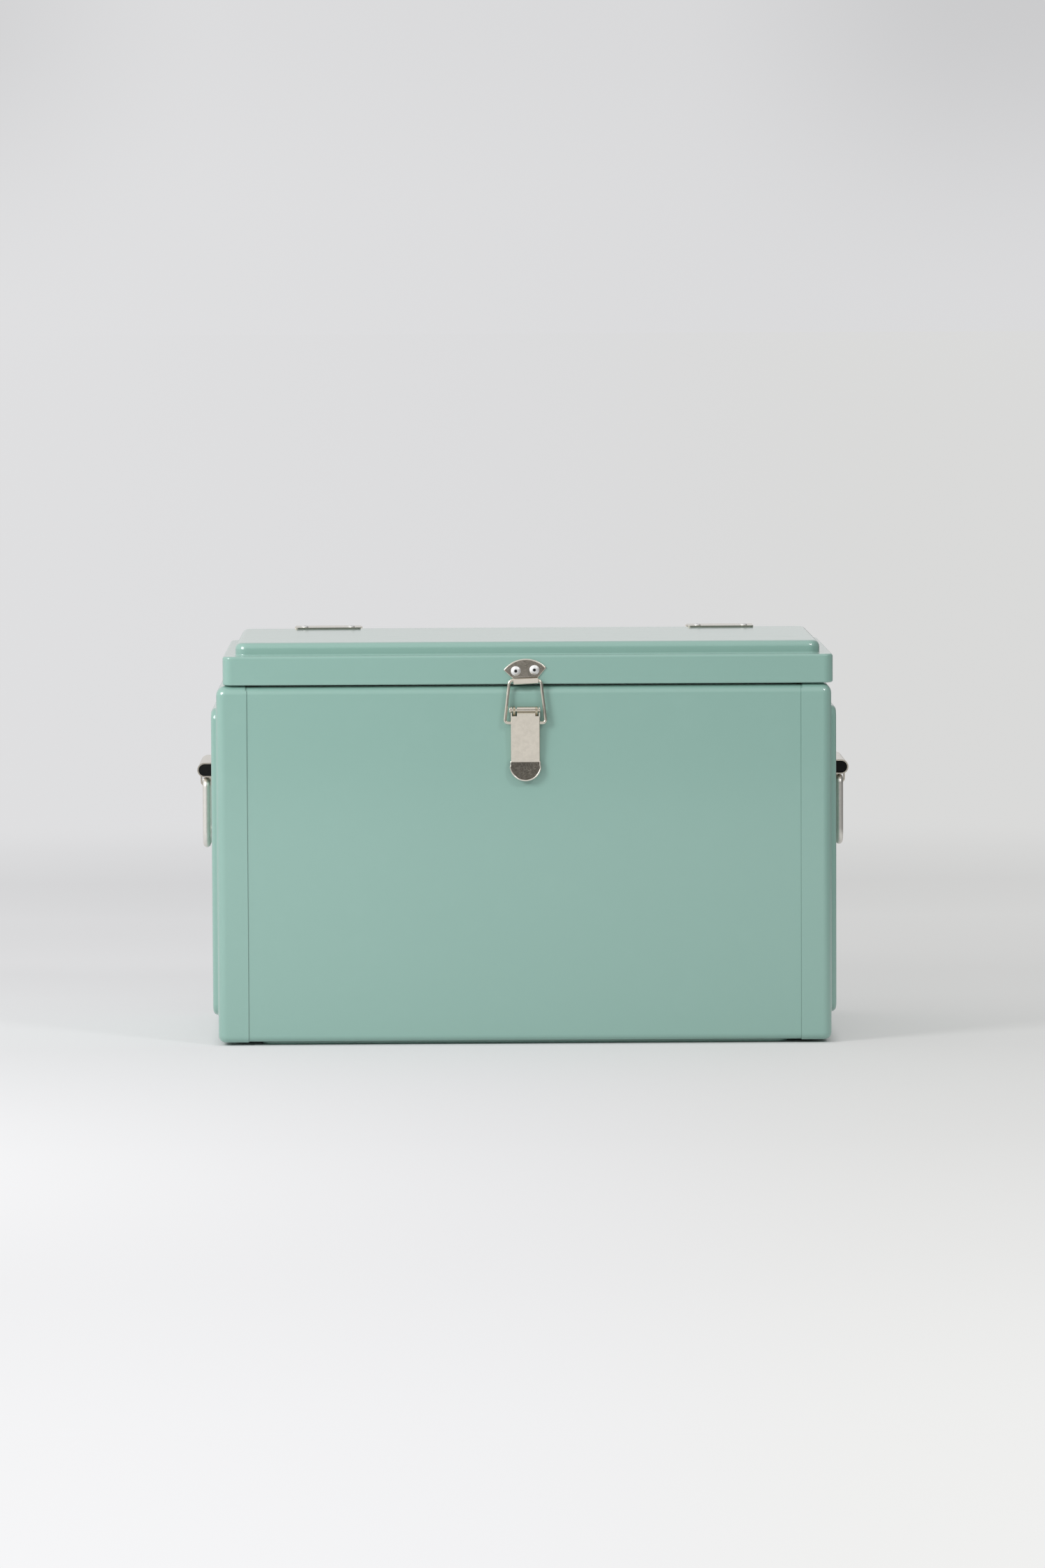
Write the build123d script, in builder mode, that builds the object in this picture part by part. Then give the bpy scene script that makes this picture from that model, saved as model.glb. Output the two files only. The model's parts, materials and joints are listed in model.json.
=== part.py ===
from build123d import *
from math import cos, hypot, radians, sin, tan
import os

os.makedirs("parts", exist_ok=True)

# Insulated steel cooler chest: hinged lid, draw latch, a drop handle at each end.
# X runs along the width, -Y is the front and Z is up, in millimetres.  The origin is
# under the middle of the base, on the plane that the chest stands on.

# ---------------------------------------------------------------- steel box
body_w = 600.0          # over the end caps, without their pressed-out panels
body_d = 310.0          # front to back
body_h = 349.5          # sheet box
base_drop = 2.5         # the pressed base panel hangs this far below the box
sheet = 0.8             # sheet of box and lid
corner_r = 8.5          # upright corners
foot_bend = 7.0         # bend from walls to bottom
brow_bend = 9.5         # bend from walls to the turned-in top
top_turn = 12.0         # width of the turned-in top
cap_reach = 29.7        # end cap's flange, measured along the front
cap_lap = 16.0          # wrap hidden under an end cap
seam_nick = (1.3, 4.6)  # relief where a cap's flange meets the turned-in top
base_side_margin = 42.0
base_front_margin = 13.0
base_corner = 12.0
base_bend = 1.6

# pressed-out panel of an end cap
emboss_rise = 5.8
emboss_front = 21.6
emboss_top = 23.0
emboss_foot = 24.7
emboss_corner = 12.0
emboss_bend = 5.0
emboss_root = 2.5

# ---------------------------------------------------------------- tub and insulation
wall = 30.0             # sheet face to inside of the tub
floor_wall = 30.0
tub_wall = 2.5
tub_corner = 26.0
tub_floor_bend = 14.0
tub_lip = 1.2           # thickness of the tub's flange
tub_lip_inset = 14.0    # flange's edge behind the sheet face
foam_clear = 0.3

# ---------------------------------------------------------------- lid
lid_narrower = 5.0      # than the box, measured over the end caps
lid_shift = 4.0         # the lid is hung this far to the right of the box
lid_gap = 0.5           # box top to the skirt's hem
skirt_h = 28.1
skirt_corner = 9.0
hem_bend = 2.0
hem_turn = 6.5
rim_bend = 2.2
panel_rise = 12.4       # raised panel over the rim
panel_side = 12.0
panel_front = 17.6
panel_corner = 11.0
panel_bend = 6.0
panel_root = 1.5
seal_gap = 0.3          # gasket to tub flange, lid shut
gasket_h = 5.5
gasket_w = 7.0
gasket_bend = 2.2
lid_liner_t = 2.0
plug_clear = 8.0        # liner's plug to the tub's walls
plug_drop = 8.5
plug_bend = 4.0

# ---------------------------------------------------------------- rivets
rivet_r = 2.4
rivet_head_r = 4.75
rivet_head_h = 1.8
rivet_rim = 0.5
mandrel_r = 1.25
mandrel_depth = 1.2
rivet_tail_r = 3.4
rivet_tail = 4.5
rivet_crown = (0.72, 0.62)   # shares of radius and height where the head's dome turns
rivet_margin = 1.5      # sheet left outside a rivet's head
hole_clear = 0.1
through = 1.0           # a cut runs this far past its sheet
pocket_clear = 0.6
hinge_rivet_head_r = 3.6

# ---------------------------------------------------------------- hinges
hinge_inset = 98.9      # hinge centre to the lid's side
leaf_w = 66.0
leaf_t = 1.5
leaf_on_panel = 18.0
leaf_corner = 3.0
leaf_drop = 52.0        # body leaf below the box's top edge
hinge_rivet_pitch = 47.0
hinge_rivet_edge = 9.0
body_rivet_rows = (12.0, 30.0)   # up from the body leaf's lower end
leaf_behind_lid = 1.0
hinge_pin_r = 1.5
hinge_knuckle_r = 3.5
hinge_mid_knuckle = 22.0
knuckle_gap = 0.25
hinge_pin_head = (2.6, 1.0)
running = 0.05
leaf_jog = 5.0

# ---------------------------------------------------------------- draw latch
latch_x = 1.3
latch_t = 1.2
wire_r = 1.55
pivot_down = 24.2       # pivot below the box's top edge
pivot_out = 7.2         # pivot in front of the wrap
pin_r = 1.6
knuckle_r = 3.5
lever_w = 28.5
lever_knuckle_w = 17.8
lever_knuckle_shift = 0.8
base_w = 25.2
base_knuckle_w = 2.2
base_knuckle_in = 0.6   # the roll's outer end inside the plate's edge
base_len = 33.0
base_top_down = 34.0    # flat of the base plate, from the box's top edge
base_rivets = (8.0, 25.0)
base_corner_r = 3.6
knuckle_neck = 0.7      # share of a knuckle's radius where the base plate meets it
lever_face_out = 0.8    # lever's face in front of the pivot
lever_len = 51.0
lever_lean = 3.5
lever_side_clear = 0.6
lever_head_cut = 6.0
lever_head_under = 0.8   # the face's end above the knuckle's underside
ear_r = 3.5
tab_len = 18.7
tab_w = 30.5
tab_shoulder = 5.4
tab_kick = 8.0
tab_corner = 1.5
bail_pivot_down = 12.7
bail_pivot_out = 5.3
bail_foot_w = 40.2
bail_head_w = 30.6
bail_head_bend = 4.2
bail_foot_bend = 3.0
bail_in = 1.0           # wire end inside the lever's side
catch_x = 1.3
catch_tilt = 3.0
catch_up = 13.5         # rivet line above the skirt's hem
fan_w = 41.6
fan_point_up = 1.5
fan_top_up = 11.2
hook_w = 24.0
hook_top_down = 7.7
hook_bottom_down = 13.3
hook_slot = 5.0
hook_flare = 8.0        # the lip leans forward at its top
edge_round = 0.5        # sheared edges on the show side
lever_bend = 0.9        # face to sides
hook_bend = 2.2
catch_rivet_pitch = 18.2
hook_slack = 0.5        # wire to the hook's floor and back
pin_head = (2.9, 1.2)

# ---------------------------------------------------------------- end handles
handle_down = 88.6      # middle of the hood below the box's top edge
hood_r = 7.2
hood_out = 16.0
bracket_t = 1.3
hood_len = 116.0
flange_up = 13.6
flange_down = 20.6
flange_low_len = 62.0
flange_corner = 4.0
handle_wire_r = 3.65
handle_axis_out = 7.3
handle_axis_down = 11.6
eye_clear = 0.8
eye_w = 10.0
eye_out = 48.0          # outer face of an eye from the bracket's middle
leg_out = 53.2
handle_drop = 62.4
elbow_r = 5.2
grip_bend = 12.0
pin_reach = 14.0
insert_clear = 0.1
insert_recess = 0.8
handle_rivets_up = 37.0
handle_rivets_low = 20.0

# ---------------------------------------------------------------- worked out
body_top = base_drop + body_h
wrap_front = -(body_d / 2 - sheet)
wrap_back = body_d / 2 - sheet
seam_x = body_w / 2 - cap_reach
wrap_end = seam_x + cap_lap
emboss_w = body_d - 2 * emboss_front
emboss_h = body_h - emboss_top - emboss_foot
emboss_z = base_drop + emboss_foot + emboss_h / 2
emboss_x = body_w / 2 + emboss_rise
tub_w = body_w - 2 * wall
tub_d = body_d - 2 * wall
tub_z = base_drop + floor_wall
lid_w = body_w - lid_narrower
lid_d = body_d
hem_z = body_top + lid_gap
catch_z = hem_z + catch_up
handle_z = body_top - handle_down
hinge_spread = lid_w / 2 - hinge_inset
rim_z = hem_z + skirt_h
lid_top = rim_z + panel_rise
seal_z = body_top + tub_lip
liner_z = seal_z + seal_gap + gasket_h
gasket_path_w = tub_w + (wall - tub_lip_inset)
gasket_path_d = tub_d + (wall - tub_lip_inset)
hinge_y = lid_d / 2 + leaf_behind_lid + hinge_knuckle_r
hinge_z = lid_top + leaf_t - hinge_knuckle_r
pivot_z = body_top - pivot_down
pivot_y = wrap_front - pivot_out
lid_front = -lid_d / 2


def save(part, name):
    part.label = name
    export_step(part, f"parts/{name}.step")


def slab(width, depth, corner, low, high, x=0.0):
    """Upright block with rounded corners between two heights."""
    with BuildPart() as block:
        with BuildSketch(Plane.XY.offset(low)):
            with Locations((x, 0)):
                RectangleRounded(width, depth, corner)
        extrude(amount=high - low)
    return block.part


# ================================================================ steel box
def box_form(inset):
    """The box as a solid, drawn in all round by inset."""
    with BuildPart() as form:
        with BuildSketch(Plane.XY.offset(base_drop + inset)):
            RectangleRounded(body_w - 2 * inset, body_d - 2 * inset, corner_r - inset)
        extrude(amount=body_h - 2 * inset)
        fillet(form.edges().group_by(Axis.Z)[0], foot_bend - inset)
        fillet(form.edges().group_by(Axis.Z)[-1], brow_bend - inset)
    return form.part


def emboss_form(inset):
    """Block of the right end cap's pressed-out panel, rooted inside the wall."""
    depth = emboss_bend + emboss_root
    with BuildPart() as form:
        with BuildSketch(Plane.YZ.offset(body_w / 2 - depth)):
            with Locations((0, emboss_z)):
                RectangleRounded(emboss_w - 2 * inset, emboss_h - 2 * inset, emboss_corner - inset)
        extrude(amount=depth + emboss_rise - inset)
        fillet(form.edges().group_by(Axis.X)[-1], emboss_bend - inset)
    return form.part


def cap_form(inset):
    """Right half of the box with the pressed-out panel on it."""
    wall_x = body_w / 2 - inset
    body = box_form(inset)
    panel = emboss_form(inset)
    with BuildPart() as form:
        add(body)
        split(bisect_by=Plane.YZ.offset(seam_x - cap_reach), keep=Keep.TOP)
        add(panel)
        root = (
            form.edges()
            .filter_by_position(Axis.X, wall_x - 0.01, wall_x + 0.01)
            .filter_by(lambda e: abs(e.center().Y) < emboss_w / 2 - inset + 0.01)
            .filter_by(lambda e: abs(e.center().Z - emboss_z) < emboss_h / 2 - inset + 0.01)
        )
        fillet(root, emboss_root + inset)
    return form.part


def mouth_cut():
    """Space inside the turned-in top of wrap and caps."""
    return slab(
        body_w - 2 * top_turn, body_d - 2 * top_turn, corner_r,
        body_top - 2 * brow_bend, body_top + sheet,
    )


def bore(face, spots, radius, depth):
    """Cylinders that run into the work from a face."""
    with BuildPart(face) as drills:
        with Locations(*spots):
            Cylinder(radius, depth, align=(Align.CENTER, Align.CENTER, Align.MAX))
    return drills.part


def rivets(face, spots, grip, head_r=rivet_head_r):
    """Blind rivets: domed heads on a face, tails set behind a grip of sheet."""
    crown_out, crown_up = rivet_crown
    with BuildPart() as one:
        with BuildSketch(Plane.XZ):
            with BuildLine():
                Polyline(
                    (0, rivet_head_h - mandrel_depth), (mandrel_r, rivet_head_h - mandrel_depth),
                    (mandrel_r, rivet_head_h),
                )
                ThreePointArc(
                    (mandrel_r, rivet_head_h),
                    (head_r * crown_out, rivet_rim + (rivet_head_h - rivet_rim) * crown_up),
                    (head_r, rivet_rim),
                )
                Polyline(
                    (head_r, rivet_rim), (head_r, 0), (rivet_r, 0), (rivet_r, -grip),
                    (rivet_tail_r, -grip), (rivet_tail_r, -grip - rivet_tail),
                    (0, -grip - rivet_tail), (0, rivet_head_h - mandrel_depth),
                )
            make_face()
        revolve(axis=Axis.Z)
        fillet(one.edges().group_by(Axis.Z)[0], rivet_tail_r / 2)
    single = one.part
    return Part(children=[face.location * Pos(x, y) * single for x, y in spots])


def along(pitch, *heights):
    """Pairs of spots, pitch apart, one pair for each height."""
    return [(side * pitch / 2, h) for h in heights for side in (-1, 1)]


# faces that rivets sit on, and where each rivet goes
handle_face = Plane((emboss_x + bracket_t, 0, handle_z), x_dir=(0, 1, 0), z_dir=(1, 0, 0))
flange_low_z = -hood_r - flange_down
handle_spots = along(2 * handle_rivets_up, hood_r + flange_up / 2) + along(
    2 * handle_rivets_low, flange_low_z + rivet_head_r + rivet_margin
)
handle_grip = bracket_t + sheet

base_low = body_top - base_top_down - base_len
latch_base_face = Plane((latch_x, wrap_front - latch_t, base_low), x_dir=(1, 0, 0), z_dir=(0, -1, 0))
latch_base_spots = [(0, h) for h in base_rivets]
latch_grip = latch_t + sheet

catch_plane = Plane(
    (catch_x, lid_front, catch_z),
    x_dir=(cos(radians(catch_tilt)), 0, sin(radians(catch_tilt))),
    z_dir=(0, -1, 0),
)
catch_face = catch_plane.offset(latch_t)
catch_spots = along(catch_rivet_pitch, 0)

hinge_xs = (lid_shift - hinge_spread, lid_shift + hinge_spread)
lid_leaf_front = lid_d / 2 - panel_front - leaf_on_panel
lid_leaf_faces = [
    Plane((x, lid_leaf_front, lid_top + leaf_t), x_dir=(1, 0, 0), z_dir=(0, 0, 1)) for x in hinge_xs
]
lid_leaf_spots = along(hinge_rivet_pitch, hinge_rivet_edge)
leaf_grip = leaf_t + sheet
body_leaf_low = body_top - leaf_drop
body_leaf_faces = [
    Plane((x, wrap_back + leaf_t, body_leaf_low), x_dir=(-1, 0, 0), z_dir=(0, 1, 0)) for x in hinge_xs
]
body_leaf_spots = along(hinge_rivet_pitch, *body_rivet_rows)
shank_hole = rivet_r + hole_clear

# end caps
cap_outer = cap_form(0)
cap_inner = cap_form(sheet)
mouth = mouth_cut()
handle_holes = bore(handle_face, handle_spots, shank_hole, handle_grip + through)
nick_w, nick_h = seam_nick
with BuildPart() as end_cap_right:
    add(cap_outer)
    add(cap_inner, mode=Mode.SUBTRACT)
    split(bisect_by=Plane.YZ.offset(seam_x), keep=Keep.TOP)
    add(mouth, mode=Mode.SUBTRACT)
    add(handle_holes, mode=Mode.SUBTRACT)
    with BuildSketch(Plane.XY.offset(body_top - nick_h)):
        with Locations((seam_x, 0)):
            Rectangle(2 * nick_w, body_d + sheet)
    extrude(amount=nick_h + sheet, mode=Mode.SUBTRACT)
save(end_cap_right.part, "end_cap_right")
with BuildPart() as end_cap_left:
    mirror(end_cap_right.part, about=Plane.YZ)
save(end_cap_left.part, "end_cap_left")


# wrap: one sheet down the front, under the base and up the back
def base_form(inset):
    """Pressed-down base panel, drawn in by inset."""
    with BuildPart() as form:
        with BuildSketch(Plane.XY.offset(inset)):
            RectangleRounded(
                body_w - 2 * base_side_margin - 2 * inset,
                body_d - 2 * base_front_margin - 2 * inset,
                base_corner - inset,
            )
        extrude(amount=base_drop + 2 * sheet - inset)
        fillet(form.edges().group_by(Axis.Z)[0], base_bend - inset)
    return form.part


wrap_outer = box_form(sheet)
wrap_inner = box_form(2 * sheet)
base_outer = base_form(0)
base_inner = base_form(sheet)
wrap_holes = [
    bore(latch_base_face, latch_base_spots, shank_hole, latch_grip + through),
    *[bore(face, body_leaf_spots, shank_hole, leaf_grip + through) for face in body_leaf_faces],
]
with BuildPart() as body_wrap:
    add(wrap_outer)
    add(wrap_inner, mode=Mode.SUBTRACT)
    split(bisect_by=Plane.YZ.offset(wrap_end), keep=Keep.BOTTOM)
    split(bisect_by=Plane.YZ.offset(-wrap_end), keep=Keep.TOP)
    add(mouth, mode=Mode.SUBTRACT)
    add(base_outer)
    add(base_inner, mode=Mode.SUBTRACT)
    for holes in wrap_holes:
        add(holes, mode=Mode.SUBTRACT)
save(body_wrap.part, "body_wrap")


# ================================================================ tub and insulation
def tub_form(grow, top):
    """Inside of the tub, grown outwards, up to a height."""
    with BuildPart() as form:
        with BuildSketch(Plane.XY.offset(tub_z - grow)):
            RectangleRounded(tub_w + 2 * grow, tub_d + 2 * grow, tub_corner + grow)
        extrude(amount=top - tub_z + grow)
        fillet(form.edges().group_by(Axis.Z)[0], tub_floor_bend + grow)
    return form.part


tub_outside = tub_form(tub_wall, seal_z)
tub_inside = tub_form(0, seal_z + through)
lip_w = body_w - 2 * tub_lip_inset
lip_d = body_d - 2 * tub_lip_inset
with BuildPart() as liner_tub:
    add(tub_outside)
    with BuildSketch(Plane.XY.offset(body_top)):
        RectangleRounded(lip_w, lip_d, tub_corner + wall - tub_lip_inset)
    extrude(amount=tub_lip)
    add(tub_inside, mode=Mode.SUBTRACT)
save(liner_tub.part, "liner_tub")

foam_box = box_form(2 * sheet + foam_clear)
foam_boss = emboss_form(sheet + foam_clear)
tub_space = tub_form(tub_wall + foam_clear, body_top + through)
tail_r = rivet_tail_r + pocket_clear
tail_depth = rivet_tail + pocket_clear
pockets = [
    bore(latch_base_face, latch_base_spots, tail_r, latch_grip + tail_depth),
    *[bore(face, body_leaf_spots, tail_r, leaf_grip + tail_depth) for face in body_leaf_faces],
]
handle_pockets = bore(handle_face, handle_spots, tail_r, handle_grip + tail_depth)
left_boss = mirror(foam_boss, about=Plane.YZ)
left_pockets = mirror(handle_pockets, about=Plane.YZ)
with BuildPart() as body_insulation:
    add(foam_box)
    add(foam_boss)
    add(left_boss)
    add(tub_space, mode=Mode.SUBTRACT)
    for pocket in (*pockets, handle_pockets, left_pockets):
        add(pocket, mode=Mode.SUBTRACT)
save(body_insulation.part, "body_insulation")


# ================================================================ lid
def lid_form(inset):
    """The lid's pressing as a solid: rim with a raised panel, drawn in by inset."""
    shelf = rim_z - inset
    with BuildPart() as form:
        with BuildSketch(Plane.XY.offset(hem_z + inset)):
            with Locations((lid_shift, 0)):
                RectangleRounded(lid_w - 2 * inset, lid_d - 2 * inset, skirt_corner - inset)
        extrude(amount=skirt_h - 2 * inset)
        fillet(form.edges().group_by(Axis.Z)[0], hem_bend - inset)
        fillet(form.edges().group_by(Axis.Z)[-1], rim_bend - inset)
        with BuildSketch(Plane.XY.offset(shelf)):
            with Locations((lid_shift, 0)):
                RectangleRounded(
                    lid_w - 2 * panel_side - 2 * inset,
                    lid_d - 2 * panel_front - 2 * inset,
                    panel_corner - inset,
                )
        extrude(amount=panel_rise)
        fillet(form.edges().group_by(Axis.Z)[-1], panel_bend - inset)
        root = (
            form.edges()
            .filter_by_position(Axis.Z, shelf - 0.01, shelf + 0.01)
            .filter_by(lambda e: abs(e.center().X - lid_shift) < lid_w / 2 - panel_side - inset + 0.01)
            .filter_by(lambda e: abs(e.center().Y) < lid_d / 2 - panel_front - inset + 0.01)
        )
        fillet(root, panel_root + inset)
    return form.part


lid_outer = lid_form(0)
lid_inner = lid_form(sheet)
hem_opening = slab(
    lid_w - 2 * hem_turn, lid_d - 2 * hem_turn, skirt_corner, hem_z - through, hem_z + 2 * hem_bend, lid_shift
)
lid_holes = [
    bore(catch_face, catch_spots, shank_hole, latch_grip + through),
    *[bore(face, lid_leaf_spots, shank_hole, leaf_grip + through) for face in lid_leaf_faces],
]
with BuildPart() as lid_shell:
    add(lid_outer)
    add(lid_inner, mode=Mode.SUBTRACT)
    add(hem_opening, mode=Mode.SUBTRACT)
    for holes in lid_holes:
        add(holes, mode=Mode.SUBTRACT)
save(lid_shell.part, "lid_shell")


def plug_form(inset, top):
    """Plug of the lid liner that dips into the tub's mouth."""
    with BuildPart() as form:
        with BuildSketch(Plane.XY.offset(liner_z - plug_drop + inset)):
            with Locations((lid_shift, 0)):
                RectangleRounded(
                    tub_w - 2 * plug_clear - 2 * inset, tub_d - 2 * plug_clear - 2 * inset,
                    tub_corner - inset,
                )
        extrude(amount=top - liner_z + plug_drop - inset)
        fillet(form.edges().group_by(Axis.Z)[0], plug_bend - inset)
    return form.part


liner_w = lid_w - 2 * sheet
liner_d = lid_d - 2 * sheet
plug_outer = plug_form(0, liner_z + lid_liner_t)
plug_inner = plug_form(lid_liner_t, liner_z + 2 * lid_liner_t)
with BuildPart() as lid_liner:
    add(slab(liner_w, liner_d, skirt_corner - sheet, liner_z, liner_z + lid_liner_t, lid_shift))
    add(plug_outer)
    add(plug_inner, mode=Mode.SUBTRACT)
save(lid_liner.part, "lid_liner")

lid_foam_form = lid_form(sheet + foam_clear)
plug_foam = plug_form(lid_liner_t + foam_clear, liner_z + 2 * lid_liner_t)
lid_pockets = [
    bore(catch_face, catch_spots, tail_r, latch_grip + tail_depth),
    *[bore(face, lid_leaf_spots, tail_r, leaf_grip + tail_depth) for face in lid_leaf_faces],
]
with BuildPart() as lid_insulation:
    add(lid_foam_form)
    split(bisect_by=Plane.XY.offset(liner_z + lid_liner_t + foam_clear), keep=Keep.TOP)
    add(plug_foam)
    for pocket in lid_pockets:
        add(pocket, mode=Mode.SUBTRACT)
save(lid_insulation.part, "lid_insulation")

with BuildPart() as lid_gasket:
    with BuildSketch(Plane.XY.offset(seal_z + seal_gap)):
        with Locations((lid_shift, 0)):
            RectangleRounded(gasket_path_w + gasket_w, gasket_path_d + gasket_w, tub_corner + gasket_w)
            RectangleRounded(
                gasket_path_w - gasket_w, gasket_path_d - gasket_w, tub_corner, mode=Mode.SUBTRACT
            )
    extrude(amount=gasket_h)
    fillet(lid_gasket.edges().group_by(Axis.Z)[0], gasket_bend)
save(lid_gasket.part, "lid_gasket")

# ================================================================ hinges
tongue_w = hinge_mid_knuckle
slot_w = tongue_w + 2 * knuckle_gap
knuckle_room = hinge_knuckle_r + knuckle_gap
pin_head_r, pin_head_t = hinge_pin_head
for side, x, lid_face, body_face in zip(("left", "right"), hinge_xs, lid_leaf_faces, body_leaf_faces):
    section = Plane((x, 0, 0), x_dir=(0, 1, 0), z_dir=(1, 0, 0))
    lid_leaf_holes = bore(lid_face, lid_leaf_spots, shank_hole, leaf_t + through)
    with BuildPart() as lid_leaf:
        with BuildSketch(section):
            with BuildLine():
                Polyline(
                    (lid_leaf_front, lid_top), (hinge_y, lid_top), (hinge_y, lid_top + leaf_t),
                    (lid_leaf_front, lid_top + leaf_t), close=True,
                )
            make_face()
            with Locations((hinge_y, hinge_z)):
                Circle(hinge_knuckle_r)
                Circle(hinge_pin_r + running, mode=Mode.SUBTRACT)
        extrude(amount=leaf_w / 2, both=True)
        with BuildSketch(section):
            with Locations((hinge_y, hinge_z)):
                Rectangle(2 * knuckle_room, 3 * knuckle_room)
        extrude(amount=slot_w / 2, both=True, mode=Mode.SUBTRACT)
        front_corners = lid_leaf.edges().filter_by(Axis.Z).group_by(Axis.Y)[0]
        fillet(front_corners, leaf_corner)
        add(lid_leaf_holes, mode=Mode.SUBTRACT)
    save(lid_leaf.part, f"hinge_lid_leaf_{side}")

    body_leaf_holes = bore(body_face, body_leaf_spots, shank_hole, leaf_t + through)
    stand = hinge_y - hinge_knuckle_r
    leaf_shoulder = hinge_z - knuckle_room - leaf_t
    with BuildPart() as body_leaf:
        with BuildSketch(section):
            with BuildLine():
                Polyline(
                    (wrap_back, body_leaf_low), (wrap_back, body_top - 2 * leaf_jog),
                    (stand, body_top - leaf_jog), (stand, leaf_shoulder),
                    (stand + leaf_t, leaf_shoulder), (stand + leaf_t, body_top - leaf_jog),
                    (wrap_back + leaf_t, body_top - 2 * leaf_jog), (wrap_back + leaf_t, body_leaf_low),
                    close=True,
                )
            make_face()
        extrude(amount=leaf_w / 2, both=True)
        with BuildSketch(section):
            with BuildLine():
                Polyline(
                    (stand, leaf_shoulder - leaf_t), (stand, hinge_z), (hinge_y, hinge_z),
                    (stand + leaf_t, leaf_shoulder - leaf_t), close=True,
                )
            make_face()
            with Locations((hinge_y, hinge_z)):
                Circle(hinge_knuckle_r)
                Circle(hinge_pin_r + running, mode=Mode.SUBTRACT)
        extrude(amount=tongue_w / 2, both=True)
        low_corners = body_leaf.edges().filter_by(Axis.Y).group_by(Axis.Z)[0]
        fillet(low_corners, leaf_corner)
        add(body_leaf_holes, mode=Mode.SUBTRACT)
    save(body_leaf.part, f"hinge_body_leaf_{side}")

    with BuildPart() as hinge_pin:
        with BuildSketch(section):
            with Locations((hinge_y, hinge_z)):
                Circle(hinge_pin_r)
        extrude(amount=leaf_w / 2 + knuckle_gap, both=True)
        for end in (-1, 1):
            with BuildSketch(section.offset(end * (leaf_w / 2 + knuckle_gap))):
                with Locations((hinge_y, hinge_z)):
                    Circle(pin_head_r)
            extrude(amount=end * pin_head_t)
        fillet(hinge_pin.edges().group_by(Axis.X)[0], pin_head_t / 2)
        fillet(hinge_pin.edges().group_by(Axis.X)[-1], pin_head_t / 2)
    save(hinge_pin.part, f"hinge_pin_{side}")

lid_rivets = [rivets(face, lid_leaf_spots, leaf_grip, hinge_rivet_head_r) for face in lid_leaf_faces]
save(Part(children=[r for group in lid_rivets for r in group.children]), "hinge_lid_rivets")
back_rivets = [rivets(face, body_leaf_spots, leaf_grip, hinge_rivet_head_r) for face in body_leaf_faces]
save(Part(children=[r for group in back_rivets for r in group.children]), "hinge_body_rivets")

# ================================================================ draw latch
# side view: first coordinate out from the wrap's front, second one the height
latch_side = Plane((latch_x, wrap_front, 0), x_dir=(0, -1, 0), z_dir=(-1, 0, 0))
ear_x = lever_w / 2 - latch_t
pivot = (pivot_out, pivot_z)

base_flat_top = body_top - base_top_down
neck = knuckle_neck * knuckle_r
base_holes = bore(latch_base_face, latch_base_spots, shank_hole, latch_t + through)
with BuildPart() as latch_base_plate:
    with BuildSketch(latch_side):
        with BuildLine():
            Polyline(
                (0, base_low), (latch_t, base_low), (latch_t, base_flat_top), (0, base_flat_top),
                close=True,
            )
        make_face()
    extrude(amount=base_w / 2, both=True)
    fillet(latch_base_plate.edges().filter_by(Axis.Y).group_by(Axis.Z)[0], base_corner_r)
    for end in (-1, 1):
        with BuildSketch(latch_side.offset(end * (base_w / 2 - base_knuckle_in - base_knuckle_w))):
            with BuildLine():
                Polyline(
                    (0, base_flat_top - 2 * latch_t), (latch_t, base_flat_top - 2 * latch_t),
                    (latch_t, base_flat_top), (pivot_out + neck, pivot_z - neck),
                    pivot, (pivot_out - neck, pivot_z + neck),
                    (0, base_flat_top + latch_t), close=True,
                )
            make_face()
            with Locations(pivot):
                Circle(knuckle_r)
                Circle(pin_r + running, mode=Mode.SUBTRACT)
        extrude(amount=end * base_knuckle_w)
    add(base_holes, mode=Mode.SUBTRACT)
save(latch_base_plate.part, "latch_base_plate")
save(rivets(latch_base_face, latch_base_spots, latch_grip), "latch_base_rivets")

pin_cap_r, pin_cap_t = pin_head
with BuildPart() as latch_pivot_pin:
    with BuildSketch(latch_side):
        with Locations(pivot):
            Circle(pin_r)
    extrude(amount=lever_w / 2 + knuckle_gap, both=True)
    with BuildSketch(latch_side.offset(lever_w / 2 + knuckle_gap)):
        with Locations(pivot):
            Circle(pin_cap_r)
    extrude(amount=pin_cap_t)
    fillet(latch_pivot_pin.edges().group_by(Axis.X)[0], pin_cap_t / 2)
save(latch_pivot_pin.part, "latch_pivot_pin")

# lever: its own frame has the pivot as origin, Y up the face and Z out of it
lean = radians(lever_lean)
lever_plane = Plane((latch_x, pivot_y, pivot_z), x_dir=(1, 0, 0), z_dir=(0, -cos(lean), -sin(lean)))
face_w = lever_face_out - latch_t
tab_root = -lever_len
head_edge = lever_head_under - knuckle_r


def back_edge(v):
    """Back edge of the lever's sides at a height v, just clear of the wrap."""
    return (lever_side_clear - pivot_out - v * sin(lean)) / cos(lean)


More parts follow.
